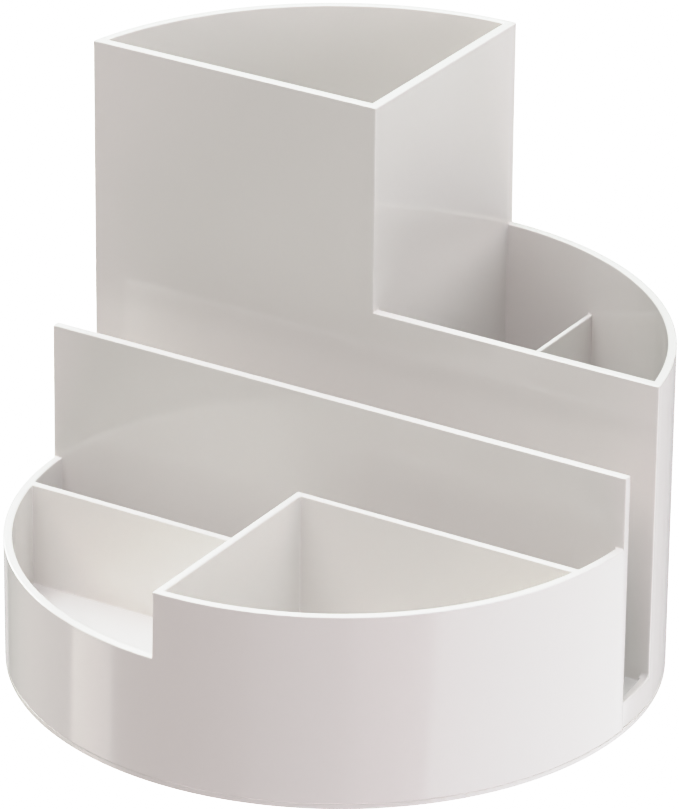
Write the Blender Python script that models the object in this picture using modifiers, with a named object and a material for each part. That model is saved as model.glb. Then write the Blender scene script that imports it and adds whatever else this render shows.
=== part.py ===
"""Round desk organizer: a disc base carrying curved outer walls and flat divider panels.

Metres, +Z up, the origin is the centre of the resting face. The letter slot runs along X,
the low trays are on the -Y side and the tall pen cup is on the +Y side to the left.
"""
import math

import bmesh
import bpy
from mathutils import Vector

# ---------------------------------------------------------------- overall sizes
OUTER_RADIUS = 0.0700        # outside of the curved walls
TALL_HEIGHT = 0.1200         # rim of the pen cup
MID_HEIGHT = 0.0740          # rim of the rear right compartments
PANEL_HEIGHT = 0.0595        # top of the panel in front of the letter slot
HIGH_TRAY_HEIGHT = 0.0435    # rim of the front right compartment
LOW_TRAY_HEIGHT = 0.0285     # rim of the front left tray
DIVIDER_HEIGHT = 0.0600      # top of the thin divider in the rear right box

# ---------------------------------------------------------------- sheet thicknesses
OUTER_WALL = 0.0019
SLOT_PANEL = 0.0020
REAR_PANEL = 0.0022
CUP_WALL = 0.0022
THIN_DIVIDER = 0.0012
TRAY_WALL = 0.0017

# ---------------------------------------------------------------- where the walls stand
PANEL_FRONT_Y = -0.0024      # front face of the slot front panel
SLOT_WIDTH = 0.0127          # clear width between the two long panels
TROUGH_WIDTH = 0.0125        # clear width between the slot panel and the tray back divider
CUP_FACE_X = 0.0009          # right face of the pen cup side wall
DIVIDER_FACE_X = 0.0248      # right face of the thin rear divider
TRAY_STEP_X = -0.0004        # left face of the wall between the trays

# ---------------------------------------------------------------- base
FLOOR_LEVEL = 0.0050         # floor of the compartments
SLOT_FLOOR_LEVEL = 0.0059    # floor of the letter slot
SLOT_LIP_LEVEL = 0.0074      # lip across each open end of the slot
RIM_STRIP = 0.0009           # height of the base rim left showing under the walls
SEAT_DEPTH = 0.0016          # how far the panels go down into the base
FOOT_CHAMFER = 0.0004        # broken edge round the resting face

# ---------------------------------------------------------------- fits and finish
CLEARANCE = 0.0003           # glue gap between any two pieces
RIM_ROUNDING = 0.0003        # rounding of the edges of walls and panels
ROUND_STEPS = 168            # facets round the full circle
OVERSIZE = 0.0200            # how far cutters run past what they cut
CAP_MERGE = 0.00002

# ---------------------------------------------------------------- sizes that follow
INNER_RADIUS = OUTER_RADIUS - OUTER_WALL
SEAT_LEVEL = FLOOR_LEVEL - SEAT_DEPTH
WALL_FOOT = RIM_STRIP + CLEARANCE
PANEL_FOOT = SEAT_LEVEL + CLEARANCE
PANEL_BACK_Y = PANEL_FRONT_Y + SLOT_PANEL
REAR_FRONT_Y = PANEL_BACK_Y + SLOT_WIDTH
REAR_BACK_Y = REAR_FRONT_Y + REAR_PANEL
TRAY_BACK_Y = PANEL_FRONT_Y - TROUGH_WIDTH
TRAY_FRONT_Y = TRAY_BACK_Y - TRAY_WALL

ROOT_NAME = "desk_organizer"

FINISHES = {
    "base_disc": ("moulded_white_base", (0.86, 0.85, 0.83), 0.34),
    "slot_floor": ("moulded_white_floor", (0.87, 0.86, 0.84), 0.32),
    "slot_front_panel": ("polished_white_panel", (0.88, 0.87, 0.85), 0.22),
    "slot_rear_panel": ("polished_white_rear", (0.88, 0.87, 0.85), 0.22),
    "front_outer_wall": ("polished_white_front", (0.88, 0.87, 0.86), 0.18),
    "rear_outer_wall": ("polished_white_back", (0.88, 0.87, 0.86), 0.18),
    "pen_cup_side_wall": ("polished_white_cup", (0.88, 0.87, 0.85), 0.22),
    "rear_divider": ("polished_white_thin", (0.87, 0.86, 0.84), 0.25),
    "tray_back_divider": ("polished_white_tray", (0.87, 0.86, 0.84), 0.25),
    "tray_side_divider": ("polished_white_step", (0.87, 0.86, 0.84), 0.25),
}


def clear_scene():
    """Remove whatever the scene holds."""
    for item in list(bpy.data.objects):
        bpy.data.objects.remove(item, do_unlink=True)


def new_collection(name):
    """Make a collection and link it to the scene."""
    group = bpy.data.collections.new(name)
    bpy.context.scene.collection.children.link(group)
    return group


def finish_material(node_name):
    """Make the plastic finish of one piece."""
    name, colour, roughness = FINISHES[node_name]
    material = bpy.data.materials.new(name)
    material.use_nodes = True
    shader = material.node_tree.nodes["Principled BSDF"]
    shader.inputs["Base Color"].default_value = (*colour, 1.0)
    shader.inputs["Roughness"].default_value = roughness
    shader.inputs["Metallic"].default_value = 0.0
    return material


def link_only(item, group):
    """Put an object in one collection and nowhere else."""
    for holder in list(item.users_collection):
        holder.objects.unlink(item)
    group.objects.link(item)
    return item


def add_cutter(item, group):
    """Mark an object as a shaping tool that is never rendered."""
    link_only(item, group)
    item.hide_render = True
    item.display_type = "WIRE"
    return item


def box(name, low, high):
    """Add a box between two opposite corners."""
    low, high = Vector(low), Vector(high)
    bpy.ops.mesh.primitive_cube_add(size=1.0, location=(low + high) / 2)
    item = bpy.context.object
    item.name = name
    item.scale = high - low
    bpy.ops.object.transform_apply(location=True, rotation=False, scale=True)
    return item


def round_bar(name, radius, low_z, high_z):
    """Add a solid round bar standing on the Z axis."""
    bpy.ops.mesh.primitive_cylinder_add(vertices=ROUND_STEPS, radius=radius, depth=high_z - low_z,
                                        location=(0.0, 0.0, (low_z + high_z) / 2))
    item = bpy.context.object
    item.name = name
    bpy.ops.object.transform_apply(location=True, rotation=False, scale=True)
    return item


def turned_solid(name, profile):
    """Spin a closed (radius, height) outline round the Z axis into a solid."""
    mesh = bpy.data.meshes.new(name)
    shape = bmesh.new()
    points = [shape.verts.new((radius, 0.0, height)) for radius, height in profile]
    closed = all(radius > CAP_MERGE for radius, _ in profile)
    count = len(points)
    for index in range(count if closed else count - 1):
        shape.edges.new((points[index], points[(index + 1) % count]))
    shape.to_mesh(mesh)
    shape.free()
    item = bpy.data.objects.new(name, mesh)
    bpy.context.scene.collection.objects.link(item)
    spin = item.modifiers.new("turn", "SCREW")
    spin.axis = "Z"
    spin.steps = ROUND_STEPS
    spin.render_steps = ROUND_STEPS
    spin.use_merge_vertices = True
    spin.merge_threshold = CAP_MERGE
    apply_modifiers(item)
    face_outwards(item)
    return item


def flat_sheet(name, outline, thickness):
    """Make a solid from a closed 2D outline filled and extruded to a thickness.

    The outline lies in the XY plane of the new object and the sheet is centred on z = 0.
    """
    curve = bpy.data.curves.new(name, "CURVE")
    curve.dimensions = "2D"
    curve.fill_mode = "BOTH"
    curve.extrude = thickness / 2
    line = curve.splines.new("POLY")
    line.points.add(len(outline) - 1)
    for point, (across, up) in zip(line.points, outline):
        point.co = (across, up, 0.0, 1.0)
    line.use_cyclic_u = True
    drawn = bpy.data.objects.new(name + "_outline", curve)
    bpy.context.scene.collection.objects.link(drawn)
    bpy.context.view_layer.update()
    depsgraph = bpy.context.evaluated_depsgraph_get()
    mesh = bpy.data.meshes.new_from_object(drawn.evaluated_get(depsgraph))
    bpy.data.objects.remove(drawn, do_unlink=True)
    shape = bmesh.new()
    shape.from_mesh(mesh)
    bmesh.ops.remove_doubles(shape, verts=shape.verts, dist=CAP_MERGE)
    bmesh.ops.recalc_face_normals(shape, faces=shape.faces)
    shape.to_mesh(mesh)
    shape.free()
    item = bpy.data.objects.new(name, mesh)
    bpy.context.scene.collection.objects.link(item)
    return item


def stand_along_x(item, middle_y):
    """Stand a flat sheet up in the XZ plane with its mid plane at one y."""
    item.rotation_euler = (math.radians(90), 0.0, 0.0)
    item.location = (0.0, middle_y, 0.0)
    return settle(item)


def stand_along_y(item, middle_x):
    """Stand a flat sheet up in the YZ plane with its mid plane at one x."""
    item.rotation_euler = (math.radians(90), 0.0, math.radians(90))
    item.location = (middle_x, 0.0, 0.0)
    return settle(item)


def settle(item):
    """Write an object's placement into its mesh."""
    for other in bpy.context.selected_objects:
        other.select_set(False)
    item.select_set(True)
    bpy.context.view_layer.objects.active = item
    bpy.ops.object.transform_apply(location=True, rotation=True, scale=True)
    return item


def apply_modifiers(item):
    """Write the modifiers of an object into its mesh."""
    bpy.context.view_layer.update()
    depsgraph = bpy.context.evaluated_depsgraph_get()
    shaped = bpy.data.meshes.new_from_object(item.evaluated_get(depsgraph))
    item.modifiers.clear()
    item.data = shaped
    return item


def face_outwards(item):
    """Turn every face of a closed mesh to face out."""
    shape = bmesh.new()
    shape.from_mesh(item.data)
    bmesh.ops.recalc_face_normals(shape, faces=shape.faces)
    shape.to_mesh(item.data)
    shape.free()
    return item


def combine(item, tool, how):
    """Run one exact boolean and keep its result."""
    step = item.modifiers.new("shape", "BOOLEAN")
    step.operation = how
    step.solver = "EXACT"
    step.object = tool
    return apply_modifiers(item)


def tidy_mesh(item):
    """Join stray cut points and melt away needless ones on straight edges."""
    shape = bmesh.new()
    shape.from_mesh(item.data)
    bmesh.ops.remove_doubles(shape, verts=shape.verts, dist=CAP_MERGE)
    bmesh.ops.dissolve_limit(shape, angle_limit=math.radians(0.2), verts=shape.verts,
                             edges=shape.edges, use_dissolve_boundaries=False)
    bmesh.ops.recalc_face_normals(shape, faces=shape.faces)
    shape.to_mesh(item.data)
    shape.free()
    return item


def round_edges(item, width):
    """Round the sharp edges of a piece."""
    rounding = item.modifiers.new("rounding", "BEVEL")
    rounding.width = width
    rounding.segments = 2
    rounding.limit_method = "ANGLE"
    rounding.angle_limit = math.radians(50)
    rounding.use_clamp_overlap = True
    return apply_modifiers(item)


def shade_round(item):
    """Shade a piece smooth with its sharp edges kept."""
    item.data.shade_smooth()
    item.data.set_sharp_from_angle(angle=math.radians(35))
    return item


def finish_piece(item, name, group, rounding=RIM_ROUNDING):
    """Name a piece, round its edges, give it its plastic and file it."""
    tidy_mesh(item)
    if rounding:
        round_edges(item, rounding)
    face_outwards(item)
    shade_round(item)
    item.name = name
    item.data.name = name
    item.data.materials.clear()
    item.data.materials.append(finish_material(name))
    return link_only(item, group)


def eared_outline(top_points, near_y, far_y):
    """Outline of a full-length piece: its foot with an ear at each end, then its top line.

    The foot sits in the base seat, and each ear drops past the floor onto the base rim.
    """
    reach = OUTER_RADIUS + OVERSIZE
    closest_y = min(max(0.0, near_y), far_y)
    ear = math.sqrt(INNER_RADIUS ** 2 - closest_y ** 2)
    foot = [(-reach, WALL_FOOT), (-ear, WALL_FOOT), (-ear, PANEL_FOOT),
            (ear, PANEL_FOOT), (ear, WALL_FOOT), (reach, WALL_FOOT)]
    return foot + top_points


def stepped_top(left_height, right_height, step_x):
    """Top line, right to left, of a wall that changes height at one x."""
    reach = OUTER_RADIUS + OVERSIZE
    return [(reach, right_height), (step_x, right_height), (step_x, left_height), (-reach, left_height)]


def level_top(height):
    """Top line, right to left, of a wall of one height."""
    reach = OUTER_RADIUS + OVERSIZE
    return [(reach, height), (-reach, height)]


def trim_to_circle(item, radius, cutters):
    """Cut a piece off at a round outline."""
    bar = round_bar(item.name + "_trim", radius, -OVERSIZE, TALL_HEIGHT + OVERSIZE)
    return combine(item, add_cutter(bar, cutters), "INTERSECT")


def full_length_piece(name, top_points, near_y, far_y, cutters):
    """Make a piece that spans the disc and ends flush with the outside."""
    sheet = flat_sheet(name, eared_outline(top_points, near_y, far_y), far_y - near_y)
    stand_along_x(sheet, (near_y + far_y) / 2)
    return trim_to_circle(sheet, OUTER_RADIUS, cutters)


def seated_chord_panel(name, top_points, near_y, far_y, cutters):
    """Make a panel along X that stays inside the curved wall."""
    reach = OUTER_RADIUS + OVERSIZE
    outline = [(-reach, PANEL_FOOT), (reach, PANEL_FOOT)] + top_points
    sheet = flat_sheet(name, outline, far_y - near_y)
    stand_along_x(sheet, (near_y + far_y) / 2)
    return trim_to_circle(sheet, INNER_RADIUS - CLEARANCE, cutters)


def seated_cross_panel(name, height, near_x, far_x, inner_y, outer_y, cutters):
    """Make a panel along Y from one long wall out to the curved wall."""
    outline = [(inner_y, PANEL_FOOT), (outer_y, PANEL_FOOT), (outer_y, height), (inner_y, height)]
    sheet = flat_sheet(name, outline, far_x - near_x)
    stand_along_y(sheet, (near_x + far_x) / 2)
    return trim_to_circle(sheet, INNER_RADIUS - CLEARANCE, cutters)


def curved_wall(name, height, cut_boxes, cutters):
    """Make a round wall standing on the base rim and cut boxes out of it."""
    wall = turned_solid(name, [(INNER_RADIUS, WALL_FOOT), (OUTER_RADIUS, WALL_FOOT),
                               (OUTER_RADIUS, height), (INNER_RADIUS, height)])
    for index, (low, high) in enumerate(cut_boxes):
        tool = add_cutter(box(f"{name}_cut_{index + 1}", low, high), cutters)
        combine(wall, tool, "DIFFERENCE")
    return wall


def base_disc(cutters):
    """Make the round base: a floor, a rim strip under the walls and a seat for every panel."""
    plateau = INNER_RADIUS - CLEARANCE
    disc = turned_solid("base_disc", [
        (0.0, 0.0), (OUTER_RADIUS - FOOT_CHAMFER, 0.0), (OUTER_RADIUS, FOOT_CHAMFER),
        (OUTER_RADIUS, RIM_STRIP), (plateau, RIM_STRIP), (plateau, FLOOR_LEVEL), (0.0, FLOOR_LEVEL)])
    tidy_mesh(disc)
    far = OUTER_RADIUS + OVERSIZE
    high = FLOOR_LEVEL + OVERSIZE
    slot_middle = (PANEL_BACK_Y + REAR_FRONT_Y) / 2
    tray_middle = (TRAY_FRONT_Y + TRAY_BACK_Y) / 2
    seats = [
        (-far, far, PANEL_FRONT_Y, REAR_BACK_Y),
        (-far, far, TRAY_FRONT_Y, TRAY_BACK_Y),
        (TRAY_STEP_X, TRAY_STEP_X + TRAY_WALL, -far, tray_middle),
        (CUP_FACE_X - CUP_WALL, CUP_FACE_X, slot_middle, far),
        (DIVIDER_FACE_X - THIN_DIVIDER, DIVIDER_FACE_X, slot_middle, far),
    ]
    for index, (near_x, far_x, near_y, far_y) in enumerate(seats):
        tool = box(f"seat_{index + 1}", (near_x - CLEARANCE, near_y - CLEARANCE, SEAT_LEVEL),
                   (far_x + CLEARANCE, far_y + CLEARANCE, high))
        combine(disc, add_cutter(tool, cutters), "DIFFERENCE")
    return disc


def build():
    """Build every piece of the organizer."""
    clear_scene()
    body = new_collection(ROOT_NAME)
    cutters = new_collection(ROOT_NAME + "_cutters")
    far = OUTER_RADIUS + OVERSIZE
    over = TALL_HEIGHT + OVERSIZE

    finish_piece(base_disc(cutters), "base_disc", body, rounding=0.0)

    lipped_strip = full_length_piece(
        "slot_floor", level_top(SLOT_LIP_LEVEL),
        PANEL_BACK_Y + CLEARANCE, REAR_FRONT_Y - CLEARANCE, cutters)
    hollow = round_bar("slot_hollow", INNER_RADIUS, SLOT_FLOOR_LEVEL, over)
    combine(lipped_strip, add_cutter(hollow, cutters), "DIFFERENCE")
    finish_piece(lipped_strip, "slot_floor", body)
    finish_piece(full_length_piece(
        "slot_front_panel", level_top(PANEL_HEIGHT),
        PANEL_FRONT_Y, PANEL_BACK_Y, cutters), "slot_front_panel", body)
    finish_piece(full_length_piece(
        "slot_rear_panel", stepped_top(TALL_HEIGHT, MID_HEIGHT, CUP_FACE_X),
        REAR_FRONT_Y, REAR_BACK_Y, cutters), "slot_rear_panel", body)

    finish_piece(curved_wall("front_outer_wall", HIGH_TRAY_HEIGHT, [
        ((-far, PANEL_FRONT_Y - CLEARANCE, -OVERSIZE), (far, far, over)),
        ((-far, -far, LOW_TRAY_HEIGHT), (TRAY_STEP_X, far, over)),
    ], cutters), "front_outer_wall", body)
    finish_piece(curved_wall("rear_outer_wall", TALL_HEIGHT, [
        ((-far, -far, -OVERSIZE), (far, REAR_BACK_Y + CLEARANCE, over)),
        ((CUP_FACE_X, -far, MID_HEIGHT), (far, far, over)),
    ], cutters), "rear_outer_wall", body)

    rear_start = REAR_BACK_Y + CLEARANCE
    finish_piece(seated_cross_panel(
        "pen_cup_side_wall", TALL_HEIGHT, CUP_FACE_X - CUP_WALL, CUP_FACE_X,
        rear_start, far, cutters), "pen_cup_side_wall", body)
    finish_piece(seated_cross_panel(
        "rear_divider", DIVIDER_HEIGHT, DIVIDER_FACE_X - THIN_DIVIDER, DIVIDER_FACE_X,
        rear_start, far, cutters), "rear_divider", body)
    finish_piece(seated_chord_panel(
        "tray_back_divider", stepped_top(LOW_TRAY_HEIGHT, HIGH_TRAY_HEIGHT, TRAY_STEP_X),
        TRAY_FRONT_Y, TRAY_BACK_Y, cutters), "tray_back_divider", body)
    finish_piece(seated_cross_panel(
        "tray_side_divider", HIGH_TRAY_HEIGHT, TRAY_STEP_X, TRAY_STEP_X + TRAY_WALL,
        -far, TRAY_FRONT_Y - CLEARANCE, cutters), "tray_side_divider", body)


build()
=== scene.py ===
"""Looks of a round white desk organizer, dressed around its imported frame.

Two mouldings are drawn in plan as cells of different heights, raised in one go, rounded along every rim
and filleted in every inside corner, and then parted along the joints into the organizer's named pieces.
"""
from __future__ import annotations

import logging
import math
from dataclasses import dataclass
from enum import Enum
from typing import Sequence

import bmesh
import bpy
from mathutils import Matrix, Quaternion, Vector

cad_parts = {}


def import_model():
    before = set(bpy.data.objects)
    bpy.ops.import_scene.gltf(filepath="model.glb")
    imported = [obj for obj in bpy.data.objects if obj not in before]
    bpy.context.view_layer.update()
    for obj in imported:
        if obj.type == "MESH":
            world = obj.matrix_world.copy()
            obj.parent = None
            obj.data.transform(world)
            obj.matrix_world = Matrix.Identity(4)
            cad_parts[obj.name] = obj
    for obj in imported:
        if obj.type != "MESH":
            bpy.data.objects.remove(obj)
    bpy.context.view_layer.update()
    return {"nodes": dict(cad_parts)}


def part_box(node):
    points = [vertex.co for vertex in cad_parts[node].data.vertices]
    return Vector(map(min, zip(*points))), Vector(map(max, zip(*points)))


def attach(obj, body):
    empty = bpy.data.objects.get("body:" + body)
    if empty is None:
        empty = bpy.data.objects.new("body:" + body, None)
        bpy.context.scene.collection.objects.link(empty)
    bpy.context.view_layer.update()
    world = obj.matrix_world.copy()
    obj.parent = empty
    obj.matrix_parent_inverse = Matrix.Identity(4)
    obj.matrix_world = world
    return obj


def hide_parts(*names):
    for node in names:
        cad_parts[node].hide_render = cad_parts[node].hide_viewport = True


LOG = logging.getLogger("desk_organizer")

Point2 = tuple[float, float]
Point3 = tuple[float, float, float]

# Lengths, in metres.
MM = 0.001
WELD = 1e-7  # Plan points closer than this are one.
FAR = 0.2  # Beyond every piece.
PAST_FILLET = 0.15 * MM  # How far past a fillet a joint is cut.
STRAY = 0.004 * MM  # Points of a finished piece closer than this are joined.
SLIVER = 0.002 * MM  # Edges shorter than this are taken out.

SHARP = math.radians(50)  # Edges that turn further than this are shaded sharp.

# Sockets that share their name with others in their node, by number.
COMPARE_FIRST, COMPARE_SECOND = 2, 3
MIX_FIRST, MIX_SECOND, MIX_RESULT = 6, 7, 2
ALL_CHANNELS = 3  # The curve of a view's curve mapping that moves red, green and blue together.

PLAIN_WHITE = (1.0, 1.0, 1.0, 1.0)


# -------------------- sizes
class Side(Enum):
    """Which half of a circle a point is taken on."""

    LOW = -1.0
    HIGH = 1.0


@dataclass(frozen=True)
class OrganizerSizes:
    """Every size the looks need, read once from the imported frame.

    Attributes:
        outer_radius: Outside of the curved walls.
        inner_radius: Inside of the curved walls.
        tall, mid, panel, high_tray, low_tray, divider: Heights of the rims.
        floor, slot_floor, slot_lip: Heights of the floors and of the lips across the slot.
        wall_foot: Height of the underside of the walls, which is the top of the foot plate.
        panel_y, rear_y, tray_y: Front and back faces of the slot's two panels and of the tray divider.
        step_x, cup_x, divider_x: Left and right faces of the walls that run front to back.
    """

    outer_radius: float
    inner_radius: float
    tall: float
    mid: float
    panel: float
    high_tray: float
    low_tray: float
    divider: float
    floor: float
    slot_floor: float
    slot_lip: float
    wall_foot: float
    panel_y: Point2
    rear_y: Point2
    tray_y: Point2
    step_x: Point2
    cup_x: Point2
    divider_x: Point2

    @classmethod
    def from_frame(cls, nodes: dict[str, bpy.types.Object]) -> OrganizerSizes:
        """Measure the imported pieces.

        Args:
            nodes: The frame's nodes by name.

        Returns:
            The sizes in metres.
        """

        def span(node: str, axis: int) -> Point2:
            """Lowest and highest coordinate of a node along one axis."""
            low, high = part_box(node)
            return low[axis], high[axis]

        def top_between(node: str, left: float, right: float) -> float:
            """Highest point of a node between two x."""
            return max(v.co.z for v in nodes[node].data.vertices if left < v.co.x < right)

        def floor_of(node: str) -> float:
            """Height of a piece's level faces round the middle of the organizer."""
            return max(face.center.z for face in nodes[node].data.polygons
                       if face.normal.z > level and face.center.xy.length < middle)

        clear, middle, level = 2 * MM, 50 * MM, 0.9
        inside = min(math.hypot(v.co.x, v.co.y) for v in nodes["front_outer_wall"].data.vertices)
        cup_x = span("pen_cup_side_wall", 0)
        step_x = span("tray_side_divider", 0)
        return cls(
            outer_radius=span("base_disc", 0)[1],
            inner_radius=inside,
            tall=span("slot_rear_panel", 2)[1],
            mid=top_between("slot_rear_panel", cup_x[1] + clear, FAR),
            panel=span("slot_front_panel", 2)[1],
            high_tray=span("tray_side_divider", 2)[1],
            low_tray=top_between("front_outer_wall", -FAR, step_x[0] - clear),
            divider=span("rear_divider", 2)[1],
            floor=span("base_disc", 2)[1],
            slot_floor=floor_of("slot_floor"),
            slot_lip=span("slot_floor", 2)[1],
            wall_foot=span("front_outer_wall", 2)[0],
            panel_y=span("slot_front_panel", 1),
            rear_y=span("slot_rear_panel", 1),
            tray_y=span("tray_back_divider", 1),
            step_x=step_x,
            cup_x=cup_x,
            divider_x=span("rear_divider", 0),
        )


# -------------------- plan
@dataclass(frozen=True)
class PlanCell:
    """One area of the plan, its outline anticlockwise, with the height it is raised to."""

    name: str
    height: float
    outline: tuple[Point2, ...]


def half_chord(radius: float, offset: float) -> float:
    """Half the length of the chord of a circle at one distance from its centre."""
    return math.sqrt(radius * radius - offset * offset)


def at_x(radius: float, x: float, side: Side) -> Point2:
    """Point of a circle above or below one x."""
    return x, side.value * half_chord(radius, x)


def ends(radius: float, y: float) -> tuple[Point2, Point2]:
    """Left and right point of a circle at one y."""
    half = half_chord(radius, y)
    return (-half, y), (half, y)


def arc(start: Point2, end: Point2, longest: float = 1.9 * MM) -> list[Point2]:
    """Points strictly between two points of a circle round the origin, along the shorter way.

    Args:
        start: First point on the circle.
        end: Last point on the same circle.
        longest: Longest chord allowed.

    Returns:
        The points between, evenly spaced.
    """
    radius = math.hypot(*start)
    first = math.atan2(start[1], start[0])
    turn = math.atan2(end[1], end[0]) - first
    turn = (turn + math.pi) % (2 * math.pi) - math.pi
    count = max(1, math.ceil(abs(turn) * radius / longest))
    angles = (first + turn * index / count for index in range(1, count))
    return [(radius * math.cos(angle), radius * math.sin(angle)) for angle in angles]


@dataclass(frozen=True)
class Rounding:
    """How far the edges of a moulding are rounded.

    Attributes:
        rim: Radius of the outward edges.
        fillet: Radius of the inward corners.
        foot: Radius of the edge round the underside.
        segments: Facets across a rounding.
        sharpest_flat: Edges that turn less than this are part of a curve and stay as they are.
    """

    rim: float = 0.36 * MM
    fillet: float = 0.36 * MM
    foot: float = 0.20 * MM
    segments: int = 3
    sharpest_flat: float = math.radians(30)


@dataclass
class Moulding:
    """A closed solid raised from plan cells of different heights.

    Attributes:
        name: Name of the mesh made.
        foot: Height of the flat underside.
        cells: The plan.
        rounding: Edge sizes.
    """

    name: str
    foot: float
    cells: Sequence[PlanCell]
    rounding: Rounding

    @staticmethod
    def _key(point: Point2) -> tuple[int, int]:
        """Whole-number name of a plan point, so that shared points are one."""
        return round(point[0] / WELD), round(point[1] / WELD)

    def _levels(self) -> dict[tuple[int, int], list[float]]:
        """Heights at which each plan point carries a corner."""
        levels: dict[tuple[int, int], set[float]] = {}
        for cell in self.cells:
            for point in cell.outline:
                levels.setdefault(self._key(point), {self.foot}).add(cell.height)
        return {key: sorted(found) for key, found in levels.items()}

    def _raise_cells(self, shape: bmesh.types.BMesh) -> None:
        """Make the tops, sides and underside of every cell."""
        levels = self._levels()
        owner = {(self._key(a), self._key(b)): cell
                 for cell in self.cells for a, b in zip(cell.outline, cell.outline[1:] + cell.outline[:1])}
        corners: dict[tuple[tuple[int, int], float], bmesh.types.BMVert] = {}

        def corner(point: Point2, height: float) -> bmesh.types.BMVert:
            """The shared corner at a plan point and a height."""
            name = (self._key(point), height)
            if name not in corners:
                corners[name] = shape.verts.new((*point, height))
            return corners[name]

        for cell in self.cells:
            shape.faces.new([corner(point, cell.height) for point in cell.outline])
            shape.faces.new([corner(point, self.foot) for point in reversed(cell.outline)])
            for a, b in zip(cell.outline, cell.outline[1:] + cell.outline[:1]):
                beyond = owner.get((self._key(b), self._key(a)))
                low = beyond.height if beyond else self.foot
                if low >= cell.height:
                    continue
                up = [z for z in levels[self._key(b)] if low <= z <= cell.height]
                down = [z for z in reversed(levels[self._key(a)]) if low <= z <= cell.height]
                shape.faces.new([corner(b, z) for z in up] + [corner(a, z) for z in down])

    def _weigh_edges(self, shape: bmesh.types.BMesh) -> None:
        """Say how far each edge is rounded, as a share of the widest rounding."""
        widest = max(self.rounding.rim, self.rounding.fillet, self.rounding.foot)
        weight = shape.edges.layers.float.new("bevel_weight_edge")
        for edge in shape.edges:
            if len(edge.link_faces) != 2 or edge.calc_face_angle() < self.rounding.sharpest_flat:
                continue
            width = self.rounding.rim if edge.calc_face_angle_signed() > 0 else self.rounding.fillet
            if all(vert.co.z < self.foot + WELD for vert in edge.verts):
                width = self.rounding.foot
            edge[weight] = width / widest

    def build(self) -> bpy.types.Object:
        """Raise and round the moulding.

        Returns:
            The finished closed solid as an object at the origin.
        """
        shape = bmesh.new()
        self._raise_cells(shape)
        shape.normal_update()
        self._weigh_edges(shape)
        item = object_of(shape, self.name)
        bevel = item.modifiers.new("rounding", "BEVEL")
        bevel.limit_method = "WEIGHT"
        bevel.width = max(self.rounding.rim, self.rounding.fillet, self.rounding.foot)
        bevel.segments = self.rounding.segments
        bevel.use_clamp_overlap = False
        bevel.miter_outer = "MITER_SHARP"
        flat = item.modifiers.new("flat", "TRIANGULATE")
        flat.quad_method, flat.ngon_method = "BEAUTY", "BEAUTY"
        bake(item)
        return item


# -------------------- mesh help
def link(item: bpy.types.Object) -> bpy.types.Object:
    """Put an object in the scene."""
    bpy.context.scene.collection.objects.link(item)
    return item


def object_of(shape: bmesh.types.BMesh, name: str) -> bpy.types.Object:
    """Turn a shape into an object of the scene, and free the shape."""
    mesh = bpy.data.meshes.new(name)
    shape.to_mesh(mesh)
    shape.free()
    return link(bpy.data.objects.new(name, mesh))


def bake(item: bpy.types.Object) -> bpy.types.Object:
    """Write an object's modifiers into its mesh."""
    bpy.context.view_layer.update()
    graph = bpy.context.evaluated_depsgraph_get()
    shaped = bpy.data.meshes.new_from_object(item.evaluated_get(graph))
    item.modifiers.clear()
    item.data = shaped
    return item


def drop(*items: bpy.types.Object) -> None:
    """Remove objects that were only tools."""
    for item in items:
        bpy.data.objects.remove(item, do_unlink=True)


def copy_of(item: bpy.types.Object, name: str) -> bpy.types.Object:
    """Copy an object with its mesh."""
    twin = item.copy()
    twin.data = item.data.copy()
    twin.name = name
    return link(twin)


def block(x: Point2 = (-FAR, FAR), y: Point2 = (-FAR, FAR)) -> bpy.types.Object:
    """Make a tall box that parts a moulding, between two x and two y."""
    spans = x, y, (-FAR, FAR)
    shape = bmesh.new()
    bmesh.ops.create_cube(shape, size=1.0)
    for vert in shape.verts:
        vert.co = [span[1] if side > 0 else span[0] for side, span in zip(vert.co, spans)]
    return object_of(shape, "part_block")


def drum(radius: float, low: float, high: float, steps: int = 240) -> bpy.types.Object:
    """Make a round bar that parts a floor from the walls round it."""
    shape = bmesh.new()
    bmesh.ops.create_cone(shape, cap_ends=True, segments=steps, radius1=radius, radius2=radius,
                          depth=high - low)
    bmesh.ops.translate(shape, verts=shape.verts, vec=(0.0, 0.0, (low + high) / 2))
    return object_of(shape, "part_drum")


def cut(item: bpy.types.Object, tool: bpy.types.Object, how: str) -> bpy.types.Object:
    """Run one exact boolean on an object and keep its result."""
    step = item.modifiers.new("part", "BOOLEAN")
    step.operation = how
    step.solver = "EXACT"
    step.object = tool
    return bake(item)


def split(body: bpy.types.Object, name: str, *tools: bpy.types.Object) -> bpy.types.Object:
    """Take the part of a body that lies inside every tool, and leave the rest in the body.

    Args:
        body: The solid to part. It keeps what is outside.
        name: Name of the part taken.
        *tools: Solids whose common inside is taken. They are removed afterwards.

    Returns:
        The part taken.
    """
    region = tools[0]
    for tool in tools[1:]:
        cut(region, tool, "INTERSECT")
    taken = copy_of(body, name)
    cut(taken, region, "INTERSECT")
    cut(body, region, "DIFFERENCE")
    drop(*tools)
    return taken


def joined(name: str, parts: Sequence[bpy.types.Object]) -> bpy.types.Object:
    """Put several closed shells in one mesh."""
    shape = bmesh.new()
    for part in parts:
        shape.from_mesh(part.data)
    drop(*parts)
    return object_of(shape, name)


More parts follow.
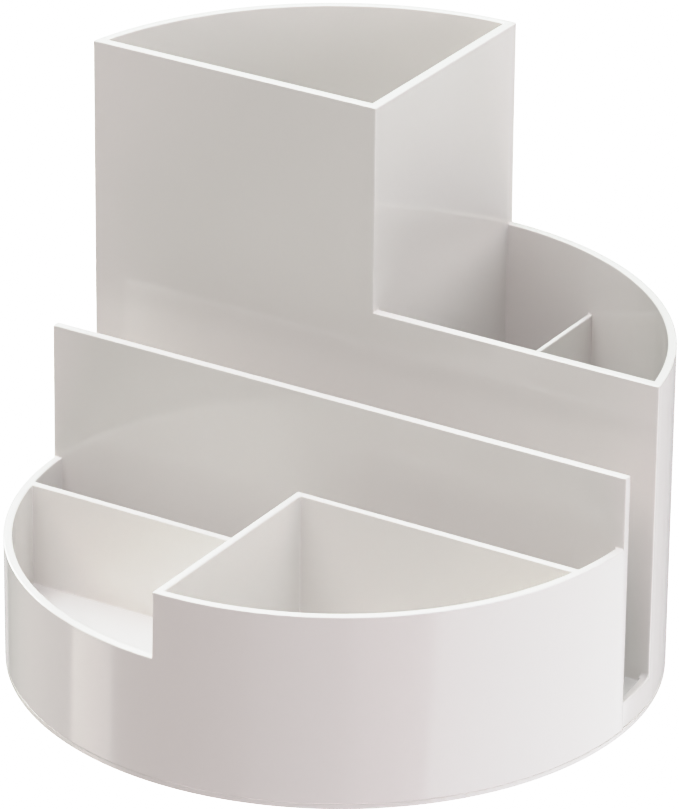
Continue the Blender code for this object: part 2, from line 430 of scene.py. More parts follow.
def tidy_and_shade(item: bpy.types.Object) -> bpy.types.Object:
    """Join stray points of a finished piece and shade its faces by their size."""
    shape = bmesh.new()
    shape.from_mesh(item.data)
    bmesh.ops.remove_doubles(shape, verts=shape.verts, dist=STRAY)
    bmesh.ops.dissolve_degenerate(shape, edges=shape.edges, dist=SLIVER)
    shape.to_mesh(item.data)
    shape.free()
    item.data.shade_smooth()
    item.data.set_sharp_from_angle(angle=SHARP)
    weigh = item.modifiers.new("shade", "WEIGHTED_NORMAL")
    weigh.mode = "FACE_AREA"
    weigh.weight = 100
    weigh.keep_sharp = True
    return bake(item)


# -------------------- sub-assemblies
@dataclass
class FrontTrays:
    """The slot's front panel with the trough and the two front trays."""

    sizes: OrganizerSizes
    rounding: Rounding

    def cells(self) -> list[PlanCell]:
        """Draw the plan of the front moulding."""
        s = self.sizes
        outer, inner = s.outer_radius, s.inner_radius
        (front, back), (tray_front, tray_back), (step, step_far) = s.panel_y, s.tray_y, s.step_x
        panel_out = [*ends(outer, front), *reversed(ends(outer, back))]
        panel_in = ends(inner, front)
        left, right = zip(ends(inner, tray_back), ends(inner, tray_front))
        step_out, step_in = at_x(outer, step, Side.LOW), at_x(inner, step, Side.LOW)
        side_in = at_x(inner, step_far, Side.LOW)
        corner, corner_far, corner_back = (step, tray_front), (step_far, tray_front), (step, tray_back)
        return [
            PlanCell("panel", s.panel, (panel_out[0], *panel_in, *panel_out[1:])),
            PlanCell("low_wall", s.low_tray, (
                panel_out[0], *arc(panel_out[0], step_out), step_out,
                step_in, *arc(step_in, left[1]), left[1], left[0], *arc(left[0], panel_in[0]), panel_in[0])),
            PlanCell("high_wall", s.high_tray, (
                step_out, *arc(step_out, panel_out[1]), panel_out[1],
                panel_in[1], *arc(panel_in[1], right[0]), right[0], right[1], *arc(right[1], side_in),
                side_in, step_in)),
            PlanCell("side_divider", s.high_tray, (step_in, side_in, corner_far, corner)),
            PlanCell("low_divider", s.low_tray, (left[1], corner, corner_back, left[0])),
            PlanCell("high_divider", s.high_tray, (corner, corner_far, right[1], right[0], corner_back)),
            PlanCell("trough", s.floor, (
                left[0], corner_back, right[0], *arc(right[0], panel_in[1]), panel_in[1],
                panel_in[0], *arc(panel_in[0], left[0]))),
            PlanCell("left_tray", s.floor, (step_in, corner, left[1], *arc(left[1], step_in))),
            PlanCell("right_tray", s.floor, (corner_far, side_in, *arc(side_in, right[1]), right[1])),
        ]

    def parts(self) -> dict[str, bpy.types.Object]:
        """Raise the moulding and part it along its joints.

        Returns:
            The parts by name, the floor of the trays among them.
        """
        s, past = self.sizes, self.rounding.fillet + PAST_FILLET
        body = Moulding("front_moulding", s.wall_foot, self.cells(), self.rounding).build()
        panel_cut = s.panel_y[0] - past
        tray_low, tray_high = s.tray_y[0] - past, s.tray_y[1] + past
        reach = half_chord(s.inner_radius, tray_low) - past
        out = half_chord(s.inner_radius, s.step_x[1]) - past
        floor = split(body, "front_floor", drum((s.inner_radius + s.outer_radius) / 2, -FAR, s.floor + past),
                      block(y=(-FAR, panel_cut)))
        panel = split(body, "slot_panel", block(y=(panel_cut, FAR)))
        back = split(body, "tray_back", block((-reach, reach), (tray_low, tray_high)))
        side = split(body, "tray_side", block((s.step_x[0] - past, s.step_x[1] + past), (-out, s.tray_y[0])))
        body.name = "front_wall"
        return {"front_floor": floor, "slot_panel": panel, "tray_back": back, "tray_side": side,
                "front_wall": body}


@dataclass
class RearTower:
    """The slot's rear panel with the pen cup and the two middle-height boxes."""

    sizes: OrganizerSizes
    rounding: Rounding

    def cells(self) -> list[PlanCell]:
        """Draw the plan of the rear moulding."""
        s = self.sizes
        outer, inner = s.outer_radius, s.inner_radius
        (front, back), (cup_left, cup), (div_left, div) = s.rear_y, s.cup_x, s.divider_x
        front_left, front_right = ends(outer, front)
        back_left, back_right = ends(outer, back)
        in_left, in_right = ends(inner, back)
        cup_front, cup_back, cup_back_left = (cup, front), (cup, back), (cup_left, back)
        div_back_left, div_back = (div_left, back), (div, back)
        cup_end_left, cup_end = at_x(inner, cup_left, Side.HIGH), at_x(inner, cup, Side.HIGH)
        div_end_left, div_end = at_x(inner, div_left, Side.HIGH), at_x(inner, div, Side.HIGH)
        cup_out = at_x(outer, cup, Side.HIGH)
        return [
            PlanCell("tall_panel", s.tall, (
                front_left, cup_front, cup_back, cup_back_left, in_left, back_left)),
            PlanCell("mid_panel", s.mid, (
                cup_front, front_right, back_right, in_right, div_back, div_back_left, cup_back)),
            PlanCell("cup_side", s.tall, (cup_back_left, cup_back, cup_end, cup_end_left)),
            PlanCell("divider", s.divider, (div_back_left, div_back, div_end, div_end_left)),
            PlanCell("tall_wall", s.tall, (
                cup_out, *arc(cup_out, back_left), back_left, in_left, *arc(in_left, cup_end_left),
                cup_end_left, cup_end)),
            PlanCell("mid_wall", s.mid, (
                back_right, *arc(back_right, cup_out), cup_out, cup_end, *arc(cup_end, div_end_left),
                div_end_left, div_end, *arc(div_end, in_right), in_right)),
            PlanCell("cup_floor", s.floor, (
                in_left, cup_back_left, cup_end_left, *arc(cup_end_left, in_left))),
            PlanCell("middle_floor", s.floor, (
                cup_back, div_back_left, div_end_left, *arc(div_end_left, cup_end), cup_end)),
            PlanCell("right_floor", s.floor, (div_back, in_right, *arc(in_right, div_end), div_end)),
        ]

    def parts(self) -> dict[str, bpy.types.Object]:
        """Raise the moulding and part it along its joints.

        Returns:
            The parts by name, the floor of the boxes among them.
        """
        s, past = self.sizes, self.rounding.fillet + PAST_FILLET
        body = Moulding("rear_moulding", s.wall_foot, self.cells(), self.rounding).build()
        panel_cut = s.rear_y[1] + past
        floor = split(body, "rear_floor", drum((s.inner_radius + s.outer_radius) / 2, -FAR, s.floor + past),
                      block(y=(panel_cut, FAR)))
        panel = split(body, "tower_panel", block(y=(-FAR, panel_cut)))
        cup_out = half_chord(s.inner_radius, s.cup_x[0]) - past
        side = split(body, "cup_side", block((s.cup_x[0] - past, s.cup_x[1] + past), (s.rear_y[1], cup_out)))
        div_out = half_chord(s.inner_radius, s.divider_x[1]) - past
        divider = split(body, "rear_divider_sheet", block(
            (s.divider_x[0] - past, s.divider_x[1] + past), (s.rear_y[1], div_out)))
        body.name = "tower_wall"
        return {"rear_floor": floor, "tower_panel": panel, "cup_side": side,
                "rear_divider_sheet": divider, "tower_wall": body}


@dataclass
class SlotFloor:
    """The strip between the two long panels, with a low lip across each open end.

    Attributes:
        sizes, rounding: Sizes of the organizer and edges of the mouldings beside the strip.
        front_tuck, back_tuck: How far the strip reaches into the front and the rear panel.
        front_recess: How far the lips stand back at their front end.
        edge: Radius of the strip's own edges.
    """

    sizes: OrganizerSizes
    rounding: Rounding
    front_tuck: float = 0.08 * MM
    back_tuck: float = 0.60 * MM
    front_recess: float = 0.30 * MM
    edge: float = 0.30 * MM

    def cells(self) -> list[PlanCell]:
        """Draw the plan of the strip and its lips."""
        s = self.sizes
        outer, inner = s.outer_radius, s.inner_radius
        front, back = s.panel_y[1] - self.front_tuck, s.rear_y[0] + self.back_tuck
        in_left, in_right = ends(inner, front)
        in_back_left, in_back_right = ends(inner, back)
        right, left = arc(in_right, in_back_right), arc(in_back_left, in_left)
        start, end = ends(outer, front)[1], ends(outer, back)[1]
        face = [(x - self.front_recess * (back - y) / (back - front), y)
                for x, y in (start, *arc(start, end), end)]
        return [
            PlanCell("strip", s.slot_floor, (
                in_left, in_right, *right, in_back_right, in_back_left, *left)),
            PlanCell("right_lip", s.slot_lip, (in_right, *face, in_back_right, *reversed(right))),
            PlanCell("left_lip", s.slot_lip, (
                in_left, *reversed(left), in_back_left, *[(-x, y) for x, y in reversed(face)])),
        ]

    def build(self) -> bpy.types.Object:
        """Make the strip, its long edges tucked into the panels."""
        edges = Rounding(rim=self.edge, fillet=self.edge, foot=self.rounding.foot)
        return Moulding("slot_strip", self.sizes.wall_foot, self.cells(), edges).build()


# -------------------- node trees
class Value:
    """A number that runs through a shader, with the usual operators."""

    def __init__(self, shop: NodeShop, socket: bpy.types.NodeSocket) -> None:
        """Wrap one output socket of a tree."""
        self.shop = shop
        self.socket = socket

    def _math(self, operation: str, first: object, second: object) -> Value:
        """Add one Math node over two values or numbers."""
        made = self.shop.node("ShaderNodeMath", {"operation": operation}, {0: first, 1: second})
        return Value(self.shop, made.outputs["Value"])

    def __add__(self, other: object) -> Value:
        """self + other."""
        return self._math("ADD", self, other)

    def __radd__(self, other: object) -> Value:
        """other + self."""
        return self._math("ADD", other, self)

    def __sub__(self, other: object) -> Value:
        """self - other."""
        return self._math("SUBTRACT", self, other)

    def __mul__(self, other: object) -> Value:
        """self * other."""
        return self._math("MULTIPLY", self, other)

    def clamped(self, low: float, high: float) -> Value:
        """The value held between two numbers."""
        return self._math("MINIMUM", self._math("MAXIMUM", self, low), high)


class NodeShop:
    """Adds nodes to one tree."""

    def __init__(self, tree: bpy.types.NodeTree) -> None:
        """Work on one tree."""
        self.tree = tree

    def node(self, kind: str, settings: dict[str, object] | None = None,
             values: dict[object, object] | None = None) -> bpy.types.Node:
        """Add a node.

        Args:
            kind: The node's type.
            settings: Its own settings, set first.
            values: Numbers, vectors, sockets or Values for its inputs, by name or number.

        Returns:
            The node.
        """
        made = self.tree.nodes.new(kind)
        for name, value in (settings or {}).items():
            setattr(made, name, value)
        for name, value in (values or {}).items():
            self.feed(made.inputs[name], value)
        return made

    def feed(self, socket: bpy.types.NodeSocket, value: object) -> None:
        """Link or set one input."""
        if isinstance(value, Value):
            self.tree.links.new(value.socket, socket)
        elif isinstance(value, bpy.types.NodeSocket):
            self.tree.links.new(value, socket)
        else:
            socket.default_value = value


class NodeSockets:
    """Input sockets of a Geometry Nodes group, kept by name so that a modifier can be given values."""

    def __init__(self, tree: bpy.types.NodeTree) -> None:
        """Start with the inputs of one tree."""
        self.identifiers = {item.name: item.identifier for item in tree.interface.items_tree
                            if getattr(item, "in_out", "") == "INPUT"}

    def give(self, modifier: bpy.types.Modifier, values: dict[str, object]) -> None:
        """Set a modifier's inputs by name through their identifiers."""
        for name, value in values.items():
            modifier[self.identifiers[name]] = value


@dataclass(frozen=True)
class SweptBead:
    """A Geometry Nodes tree that sweeps a section along the edges of a path mesh.

    Attributes:
        name: Name of the tree.
        section: Corners of the closed section, across and up, in shares of the size input.
    """

    name: str
    section: tuple[Point2, ...]

    def tree(self) -> bpy.types.NodeTree:
        """Build the tree: path to curve, sweep of the section, realize, material.

        Returns:
            The node group, with the inputs Path, Size and Material.
        """
        tree = bpy.data.node_groups.new(self.name, "GeometryNodeTree")
        for name, way, kind in (("Path", "INPUT", "Geometry"), ("Size", "INPUT", "Float"),
                                ("Material", "INPUT", "Material"), ("Geometry", "OUTPUT", "Geometry")):
            tree.interface.new_socket(name, in_out=way, socket_type=f"NodeSocket{kind}")
        shop = NodeShop(tree)
        given = shop.node("NodeGroupInput").outputs
        path = shop.node("GeometryNodeMeshToCurve", {}, {"Mesh": given["Path"]})
        upright = shop.node("GeometryNodeSetCurveNormal", {"mode": "Z_UP"}, {"Curve": path.outputs["Curve"]})
        sweep = shop.node("GeometryNodeCurveToMesh", {}, {
            "Curve": upright.outputs["Curve"], "Profile Curve": self._section_curve(shop, given["Size"]),
            "Fill Caps": True})
        real = shop.node("GeometryNodeRealizeInstances", {}, {"Geometry": sweep.outputs["Mesh"]})
        dressed = shop.node("GeometryNodeSetMaterial", {}, {
            "Geometry": real.outputs["Geometry"], "Material": given["Material"]})
        shop.node("NodeGroupOutput", {}, {"Geometry": dressed.outputs["Geometry"]})
        return tree

    def _section_curve(self, shop: NodeShop, size: bpy.types.NodeSocket) -> bpy.types.NodeSocket:
        """Lay the points of a line on the corners of the section, scale them and close the line."""
        line = shop.node("GeometryNodeCurvePrimitiveLine")
        spread = shop.node("GeometryNodeResampleCurve", {"mode": "COUNT"}, {
            "Curve": line.outputs["Curve"], "Count": len(self.section)})
        scaled = shop.node("ShaderNodeVectorMath", {"operation": "SCALE"}, {
            0: self._corner_by_index(shop), "Scale": size})
        put = shop.node("GeometryNodeSetPosition", {}, {
            "Geometry": spread.outputs["Curve"], "Position": scaled.outputs["Vector"]})
        closed = shop.node("GeometryNodeSetSplineCyclic", {}, {
            "Geometry": put.outputs["Geometry"], "Cyclic": True})
        return closed.outputs["Geometry"]

    def _corner_by_index(self, shop: NodeShop) -> bpy.types.NodeSocket:
        """Pick the corner of the section that has a point's number."""
        index = shop.node("GeometryNodeInputIndex").outputs["Index"]
        corners = [shop.node("ShaderNodeCombineXYZ", {}, {"X": across, "Y": -up}).outputs["Vector"]
                   for across, up in self.section]
        place = corners[0]
        for number, corner in enumerate(corners[1:], start=1):
            here = shop.node("FunctionNodeCompare", {"data_type": "INT", "operation": "EQUAL"}, {
                COMPARE_FIRST: index, COMPARE_SECOND: number})
            place = shop.node("GeometryNodeSwitch", {"input_type": "VECTOR"}, {
                "Switch": here.outputs["Result"], "False": place, "True": corner}).outputs["Output"]
        return place


def level_runs(name: str, height: float, runs: Sequence[Point3]) -> bpy.types.Object:
    """Make a mesh of level edges for a sweep to follow.

    Args:
        name: Name of the object.
        height: Height of the edges.
        runs: First x, last x and y of each edge.

    Returns:
        The object.
    """
    shape = bmesh.new()
    for first, last, y in runs:
        shape.edges.new([shape.verts.new((x, y, height)) for x in (first, last)])
    return object_of(shape, name)


def swept(item: bpy.types.Object, bead: SweptBead, size: float,
          material: bpy.types.Material) -> bpy.types.Object:
    """Sweep a bead along a path object and keep the plain mesh.

    Args:
        item: The path, a mesh of plain edges.
        bead: The section to sweep.
        size: Radius of the bead in metres.
        material: Plastic of the bead.

    Returns:
        The same object, now holding the bead.
    """
    tree = bead.tree()
    modifier = item.modifiers.new("sweep", "NODES")
    modifier.node_group = tree
    NodeSockets(tree).give(modifier, {"Size": size, "Material": material})
    bake(item)
    shape = bmesh.new()
    shape.from_mesh(item.data)
    bmesh.ops.recalc_face_normals(shape, faces=shape.faces)
    shape.to_mesh(item.data)
    shape.free()
    return item


# -------------------- finishes
@dataclass(frozen=True)
class Pattern:
    """One layer of noise: its scale, octaves, how much of it shows and how rough it is."""

    scale: float
    detail: float
    amount: float
    roughness: float = 0.5


@dataclass(frozen=True)
class Relief:
    """One layer of surface relief: its scale, its depth in metres and its strength."""

    scale: float
    depth: float
    strength: float


class ShaderShop(NodeShop):
    """Adds the patterns and reliefs of a plastic to one shader tree."""

    def noise(self, place: object, scale: float, detail: float, roughness: float = 0.5) -> Value:
        """Add a noise pattern and give its strength from 0 to 1."""
        made = self.node("ShaderNodeTexNoise", {"noise_dimensions": "3D"}, {
            "Vector": place, "Scale": scale, "Detail": detail, "Roughness": roughness})
        return Value(self, made.outputs["Fac"])

    def swing(self, place: object, pattern: Pattern) -> Value:
        """Add a pattern that swings evenly to both sides of nothing."""
        return (self.noise(place, pattern.scale, pattern.detail, pattern.roughness) - 0.5) * pattern.amount

    def stretched(self, place: object, offset: Point3, scale: Point3) -> bpy.types.NodeSocket:
        """Move and stretch a position before a pattern reads it."""
        made = self.node("ShaderNodeMapping", {"vector_type": "POINT"}, {
            "Vector": place, "Location": offset, "Scale": scale})
        return made.outputs["Vector"]

    def bump(self, place: object, relief: Relief,
             under: bpy.types.NodeSocket | None = None) -> bpy.types.NodeSocket:
        """Turn a relief into a surface normal, on top of another one."""
        values: dict[object, object] = {
            "Height": self.noise(place, relief.scale, 1.0), "Distance": relief.depth,
            "Strength": relief.strength}
        if under is not None:
            values["Normal"] = under
        return self.node("ShaderNodeBump", {}, values).outputs["Normal"]


class Polish(Enum):
    """How a face of the mould was finished: roughness, and depth of its fine grain in metres."""

    MIRROR = (0.09, 0.6e-6)
    GLOSS = (0.12, 1.0e-6)
    SATIN = (0.17, 1.6e-6)
    SOFT = (0.24, 2.4e-6)


@dataclass(frozen=True)
class PlasticFinish:
    """White opaque moulded plastic.

    Attributes:
        name: Name of the material.
        polish: How smooth the mould face was.
        drift: Moves the patterns so that no two pieces match.
        upright: Squeeze of the waviness along Z, below 1 for drawn-out vertical waves.
        colour, shade: Linear colour, and that of the slightly denser patches.
        flow, speck: Slow and fine change of tone.
        handled, fine, roughness_range: Slow and fine change of roughness, and its limits.
        wave, peel: Long waves and orange peel of the moulded faces.
        grain_scale, grain_strength: The finest relief, whose depth the polish gives.
    """

    name: str
    polish: Polish = Polish.GLOSS
    drift: float = 0.0
    upright: float = 0.35
    colour: Point3 = (0.870, 0.858, 0.836)
    shade: Point3 = (0.852, 0.838, 0.812)
    flow: Pattern = Pattern(34.0, 2.0, 1.1)
    speck: Pattern = Pattern(1500.0, 2.0, 0.35)
    handled: Pattern = Pattern(60.0, 3.0, 0.10, 0.6)
    fine: Pattern = Pattern(900.0, 2.0, 0.05)
    roughness_range: Point2 = (0.05, 0.6)
    wave: Relief = Relief(42.0, 6.0e-5, 0.3)
    peel: Relief = Relief(420.0, 3.0e-6, 0.4)
    grain_scale: float = 1700.0
    grain_strength: float = 0.3
    ior: float = 1.55

    def material(self) -> bpy.types.Material:
        """Build the material.

        Returns:
            The material with its node tree.
        """
        made = bpy.data.materials.new(self.name)
        made.use_nodes = True
        shop = ShaderShop(made.node_tree)
        surface = made.node_tree.nodes["Principled BSDF"]
        place = shop.node("ShaderNodeTexCoord").outputs["Object"]
        offset = (self.drift, 0.7 * self.drift, 0.3 * self.drift)
        moved = shop.stretched(place, offset, (1.0, 1.0, 1.0))
        drawn = shop.stretched(place, offset, (1.0, 1.0, self.upright))
        tone = (shop.swing(drawn, self.flow) + shop.swing(moved, self.speck) + 0.5).clamped(0.0, 1.0)
        blend = shop.node("ShaderNodeMix", {"data_type": "RGBA"}, {
            "Factor": tone, MIX_FIRST: (*self.colour, 1.0), MIX_SECOND: (*self.shade, 1.0)})
        base_roughness, grain_depth = self.polish.value
        roughness = base_roughness + shop.swing(moved, self.handled) + shop.swing(moved, self.fine)
        relief = shop.bump(moved, self.peel, shop.bump(drawn, self.wave))
        relief = shop.bump(moved, Relief(self.grain_scale, grain_depth, self.grain_strength), relief)
        shop.feed(surface.inputs["Base Color"], blend.outputs[MIX_RESULT])
        shop.feed(surface.inputs["Roughness"], roughness.clamped(*self.roughness_range))
        shop.feed(surface.inputs["Normal"], relief)
        shop.feed(surface.inputs["IOR"], self.ior)
        return made


# -------------------- pieces
@dataclass(frozen=True)
class PieceRecord:
    """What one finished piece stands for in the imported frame."""

    node: str | None
    slot: str
    finish: PlasticFinish


PIECES: dict[str, PieceRecord] = {
    "base_and_floors": PieceRecord("base_disc", "base_plastic",
        PlasticFinish("base_white", Polish.SATIN, 0.11)),
    "slot_strip": PieceRecord("slot_floor", "slot_floor_plastic",
        PlasticFinish("slot_floor_white", Polish.SATIN, 0.23)),
    "slot_panel": PieceRecord("slot_front_panel", "slot_front_plastic",
        PlasticFinish("slot_panel_white", Polish.MIRROR, 0.37)),
    "tower_panel": PieceRecord("slot_rear_panel", "slot_rear_plastic",
        PlasticFinish("tower_panel_white", Polish.MIRROR, 0.41)),
    "front_wall": PieceRecord("front_outer_wall", "front_wall_plastic",
        PlasticFinish("front_wall_white", Polish.GLOSS, 0.53, upright=0.22)),
    "tower_wall": PieceRecord("rear_outer_wall", "rear_wall_plastic",
        PlasticFinish("tower_wall_white", Polish.GLOSS, 0.67, upright=0.22)),
    "cup_side": PieceRecord("pen_cup_side_wall", "cup_wall_plastic",
        PlasticFinish("cup_side_white", Polish.MIRROR, 0.71)),
    "rear_divider_sheet": PieceRecord("rear_divider", "rear_divider_plastic",
        PlasticFinish("rear_divider_white", Polish.SATIN, 0.83)),
    "tray_back": PieceRecord("tray_back_divider", "tray_divider_plastic",
        PlasticFinish("tray_back_white", Polish.SATIN, 0.97)),
    "tray_side": PieceRecord("tray_side_divider", "tray_side_plastic",
        PlasticFinish("tray_side_white", Polish.SATIN, 1.09)),
    "foot_plate": PieceRecord(None, "base_plastic",
        PlasticFinish("foot_plate_white", Polish.SOFT, 1.21)),
    "slot_beads": PieceRecord(None, "slot_floor_plastic",
        PlasticFinish("slot_bead_white", Polish.SATIN, 1.33)),
}


@dataclass
class FootPlate:
    """The thin round plate whose edge shows as a strip under the walls.

    Attributes:
        sizes: Sizes of the organizer.
        inset, overlap: How far its edge stands back from the walls, and how far it reaches up into them.
        edges: Rounding of its edge.
    """

    sizes: OrganizerSizes
    inset: float = 0.03 * MM
    overlap: float = 0.04 * MM
    edges: Rounding = Rounding(rim=0.22 * MM, fillet=0.22 * MM, foot=0.14 * MM)

    def build(self) -> bpy.types.Object:
        """Make the plate."""
        radius = self.sizes.outer_radius - self.inset
        turns = [(radius, 0.0), (0.0, radius), (-radius, 0.0), (0.0, -radius)]
        outline: list[Point2] = []
        for start, end in zip(turns, turns[1:] + turns[:1]):
            outline += [start, *arc(start, end)]
        cell = PlanCell("plate", self.sizes.wall_foot + self.overlap, tuple(outline))
        return Moulding("foot_plate", 0.0, [cell], self.edges).build()


@dataclass
class SlotBeads:
    """The concave beads where the slot floor and its lips meet the long panels.

    Attributes:
        sizes: Sizes of the organizer.
        floor_radius, lip_radius: Radii of the beads along the floor and along the lips.
        end_gap: How far the lip beads stop short of the outside.
        steps: Facets across a bead.
        tuck: How far a bead reaches into its neighbours, as a share of its radius.
    """

    sizes: OrganizerSizes
    floor_radius: float = 0.36 * MM
    lip_radius: float = 1.10 * MM
    end_gap: float = 0.25 * MM
    steps: int = 5
    tuck: float = 0.3

    def build(self, material: bpy.types.Material) -> bpy.types.Object:
        """Sweep a hollow section along every corner line.

        Args:
            material: Plastic of the beads.

        Returns:
            All beads as one object.
        """
        s = self.sizes
        turn = [math.pi / 2 * step / self.steps for step in range(self.steps + 1)]
        hollow = [(1.0 - math.sin(angle), 1.0 - math.cos(angle)) for angle in turn]
        bead = SweptBead("bead_sweep", (
            *hollow, (-self.tuck, 1.0), (-self.tuck, -self.tuck), (1.0, -self.tuck)))
        front, back = s.panel_y[1], s.rear_y[0]
        inside = half_chord(s.inner_radius, back)
        outside = half_chord(s.outer_radius, back) - self.end_gap
        low = level_runs("floor_beads", s.slot_floor, [(inside, -inside, front), (-inside, inside, back)])
        high = level_runs("lip_beads", s.slot_lip, [
            (-inside, -outside, front), (outside, inside, front),
            (-outside, -inside, back), (inside, outside, back)])
        return joined("slot_beads", [swept(low, bead, self.floor_radius, material),
                                     swept(high, bead, self.lip_radius, material)])


# -------------------- studio
@dataclass(frozen=True)
class SoftLight:
    """One large soft light, aimed at the object.

    Attributes:
        azimuth, elevation, distance: Where it hangs, as direction() takes the angles.
        width, height: Size of the glowing sheet.
        power: Strength in watts.
    """

    name: str
    azimuth: float
    elevation: float
    width: float
    height: float
    power: float
    colour: Point3
    distance: float = 0.9

    def build(self, centre: Vector) -> bpy.types.Object:
        """Hang the light and aim it."""
        lamp = bpy.data.lights.new(self.name, "AREA")
        lamp.shape = "RECTANGLE"
        lamp.size, lamp.size_y = self.width, self.height
        lamp.energy = self.power
        lamp.color = self.colour
        item = link(bpy.data.objects.new(self.name, lamp))
        away = direction(self.azimuth, self.elevation)
        item.location = centre + away * self.distance
        item.rotation_euler = (-away).to_track_quat("-Z", "Y").to_euler()
        return item


def direction(azimuth: float, elevation: float) -> Vector:
    """Unit vector for a compass angle, 0 in front and 90 to the right, and a height angle, in degrees."""
    turn, rise = math.radians(azimuth), math.radians(elevation)
    return Vector((math.sin(turn) * math.cos(rise), -math.cos(turn) * math.cos(rise), math.sin(rise)))


@dataclass(frozen=True)
class Studio:
    """Pale floor, even surroundings, soft lights and the camera.

    Attributes:
        azimuth, elevation, distance, roll: Where the camera stands, seen from its target, and its turn.
        target: What the camera and the lights are aimed at.
        lens, sensor, clip: Focal length and sensor width in millimetres, and how near and far it sees.
        surround, surround_colour: The even light from all round.
        white: Brightness of the ground as the camera sees it, which is shown as pure white.
        shoulder: Brightness, and the shade it is shown in, for the bright end of the picture.
    """

    azimuth: float = 31.406
    elevation: float = 25.028
    distance: float = 1.2492
    target: Point3 = (0.00029, 0.00018, 0.0575)
    lens: float = 267.1
    sensor: float = 36.0
    roll: float = 0.58
    clip: Point2 = (0.01, 20.0)
    floor_size: float = 6.0
    surround: float = 0.12
    surround_colour: tuple[float, float, float, float] = (1.0, 0.99, 0.78, 1.0)
    white: float = 2.5
    shoulder: tuple[Point2, ...] = (
        (0.2, 0.2), (0.4, 0.4), (0.6, 0.6), (0.8, 0.8), (1.0, 0.89), (1.4, 0.955))
    lights: tuple[SoftLight, ...] = (
        SoftLight("table_glow", 0.0, -89.0, 0.9, 0.9, 15.0, (1.00, 0.82, 0.93)),
        SoftLight("low_left", -58.0, -28.0, 0.28, 0.55, 0.72, (0.95, 1.00, 0.97)),
        SoftLight("low_front", 17.0, -28.0, 0.42, 0.55, 0.22, (0.93, 0.94, 1.00)),
        SoftLight("low_front_right", 50.0, -28.0, 0.42, 0.55, 0.4, (0.85, 0.94, 1.00)),
        SoftLight("low_right", 105.0, -28.0, 1.3, 0.55, 3.1, (0.92, 0.98, 1.00)),
        SoftLight("low_back", 190.0, -28.0, 1.5, 0.55, 1.2, (0.93, 0.92, 1.00)),
        SoftLight("left_box", -96.0, 14.0, 0.6, 0.4, 7.3, (0.96, 0.99, 1.00)),
        SoftLight("right_box", 90.0, 14.0, 0.5, 0.4, 2.3, (0.92, 0.92, 1.00)),
        SoftLight("back_right_box", 150.0, 14.0, 0.5, 0.4, 0.8, (1.00, 0.86, 0.78)),
        SoftLight("front_box", 0.0, 14.0, 0.5, 0.4, 0.4, (0.94, 0.96, 1.00)),
        SoftLight("overhead", 0.0, 89.0, 0.8, 0.8, 5.7, (0.82, 0.92, 1.00)),
        SoftLight("high_front_right", 30.0, 50.0, 0.5, 0.5, 1.9, (1.00, 0.80, 0.84)),
        SoftLight("high_front_left", -30.0, 50.0, 0.5, 0.5, 1.5, (1.00, 0.94, 0.92)),
        SoftLight("high_back_right", 150.0, 50.0, 0.5, 0.5, 0.5, (1.00, 0.84, 0.72)),
        SoftLight("high_back_left", -150.0, 50.0, 0.5, 0.5, 2.7, (0.85, 1.00, 0.89)),
    )

    def camera(self) -> bpy.types.Object:
        """Set the camera up."""
        data = bpy.data.cameras.new("camera")
        data.lens = self.lens
        data.sensor_width = self.sensor
        data.clip_start, data.clip_end = self.clip
        item = link(bpy.data.objects.new("camera", data))
        away = direction(self.azimuth, self.elevation)
        item.location = Vector(self.target) + away * self.distance
        item.rotation_mode = "QUATERNION"
        look = (-away).to_track_quat("-Z", "Y")
        turned = Quaternion((0.0, 0.0, 1.0), math.radians(self.roll))
        item.rotation_quaternion = look @ turned
        bpy.context.scene.camera = item
        return item

    def floor(self) -> bpy.types.Object:
        """Lay the plain pale floor, an evenly glowing sheet that lets the lamps under it through."""
        mesh = bpy.data.meshes.new("studio_floor")
        half = self.floor_size / 2
        corners = [(-half, -half, 0.0), (half, -half, 0.0), (half, half, 0.0), (-half, half, 0.0)]
        mesh.from_pydata(corners, [], [(0, 1, 2, 3)])
        item = link(bpy.data.objects.new("studio_floor", mesh))
        paint = bpy.data.materials.new("studio_floor_paint")
        paint.use_nodes = True
        shop = NodeShop(paint.node_tree)
        paint.node_tree.nodes.remove(paint.node_tree.nodes["Principled BSDF"])
        both = self._white_to_the_eye(shop, shop.node("ShaderNodeBsdfTransparent"), "ShaderNodeEmission")
        shop.feed(paint.node_tree.nodes["Material Output"].inputs["Surface"], both)
        mesh.materials.append(paint)
        return item

    def world(self) -> bpy.types.World:
        """Light the surroundings evenly, white to the eye."""
        world = bpy.data.worlds.new("studio")
        world.use_nodes = True
        bpy.context.scene.world = world
        shop = NodeShop(world.node_tree)
        soft = world.node_tree.nodes["Background"]
        shop.feed(soft.inputs["Color"], self.surround_colour)
        shop.feed(soft.inputs["Strength"], self.surround)
        both = self._white_to_the_eye(shop, soft, "ShaderNodeBackground")
        shop.feed(world.node_tree.nodes["World Output"].inputs["Surface"], both)
        return world

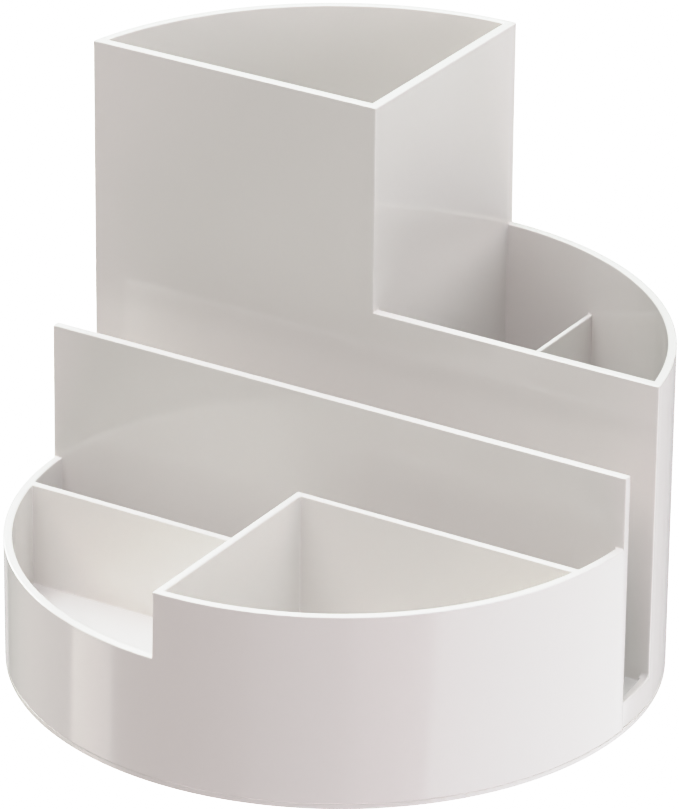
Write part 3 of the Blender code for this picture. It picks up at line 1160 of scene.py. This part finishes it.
    def _white_to_the_eye(self, shop: NodeShop, hidden: bpy.types.Node, kind: str) -> bpy.types.NodeSocket:
        """Show plain white straight to the camera, and something else to every other ray.

        Args:
            shop: Adds to the tree.
            hidden: The shader for all other rays.
            kind: Type of the node that glows white.

        Returns:
            The mixed shader.
        """
        seen = shop.node(kind, {}, {"Color": PLAIN_WHITE, "Strength": self.white})
        sight = shop.node("ShaderNodeLightPath").outputs["Is Camera Ray"]
        return shop.node("ShaderNodeMixShader", {}, {
            0: sight, 1: hidden.outputs[0], 2: seen.outputs[0]}).outputs[0]

    def build(self) -> None:
        """Set up the whole studio."""
        self.camera()
        self.floor()
        self.world()
        for light in self.lights:
            light.build(Vector(self.target))
        self.tone()

    def tone(self) -> None:
        """Roll bright values off softly, as a print does, so that rims stay below white."""
        view = bpy.context.scene.view_settings
        view.view_transform = "Standard"
        view.use_curve_mapping = True
        view.curve_mapping.white_level = (self.white, self.white, self.white)
        curve = view.curve_mapping.curves[ALL_CHANNELS]
        for light, shown in self.shoulder:
            curve.points.new(light / self.white, shown)
        view.curve_mapping.update()


# -------------------- assembly
def dress(item: bpy.types.Object, name: str, record: PieceRecord, material: bpy.types.Material) -> None:
    """Name a finished piece, give it its material and tie it to the frame."""
    item.name = name
    item.data.name = name
    item.data.materials.clear()
    item.data.materials.append(material)
    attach(item, "root")
    if record.node is not None:
        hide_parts(record.node)
    LOG.info("piece %s: %d faces", name, len(item.data.polygons))


def main() -> None:
    """Build every piece, dress it and set up the studio."""
    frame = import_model()
    sizes = OrganizerSizes.from_frame(frame["nodes"])
    rounding = Rounding()
    made = {**FrontTrays(sizes, rounding).parts(), **RearTower(sizes, rounding).parts()}
    made["base_and_floors"] = joined("base_and_floors", [made.pop("front_floor"), made.pop("rear_floor")])
    made["slot_strip"] = SlotFloor(sizes, rounding).build()
    made["foot_plate"] = FootPlate(sizes).build()
    materials = {name: record.finish.material() for name, record in PIECES.items()}
    made["slot_beads"] = SlotBeads(sizes).build(materials["slot_beads"])
    for name, record in PIECES.items():
        dress(tidy_and_shade(made[name]), name, record, materials[name])
    Studio().build()


if __name__ == "__main__":
    logging.basicConfig(level=logging.INFO)
    main()
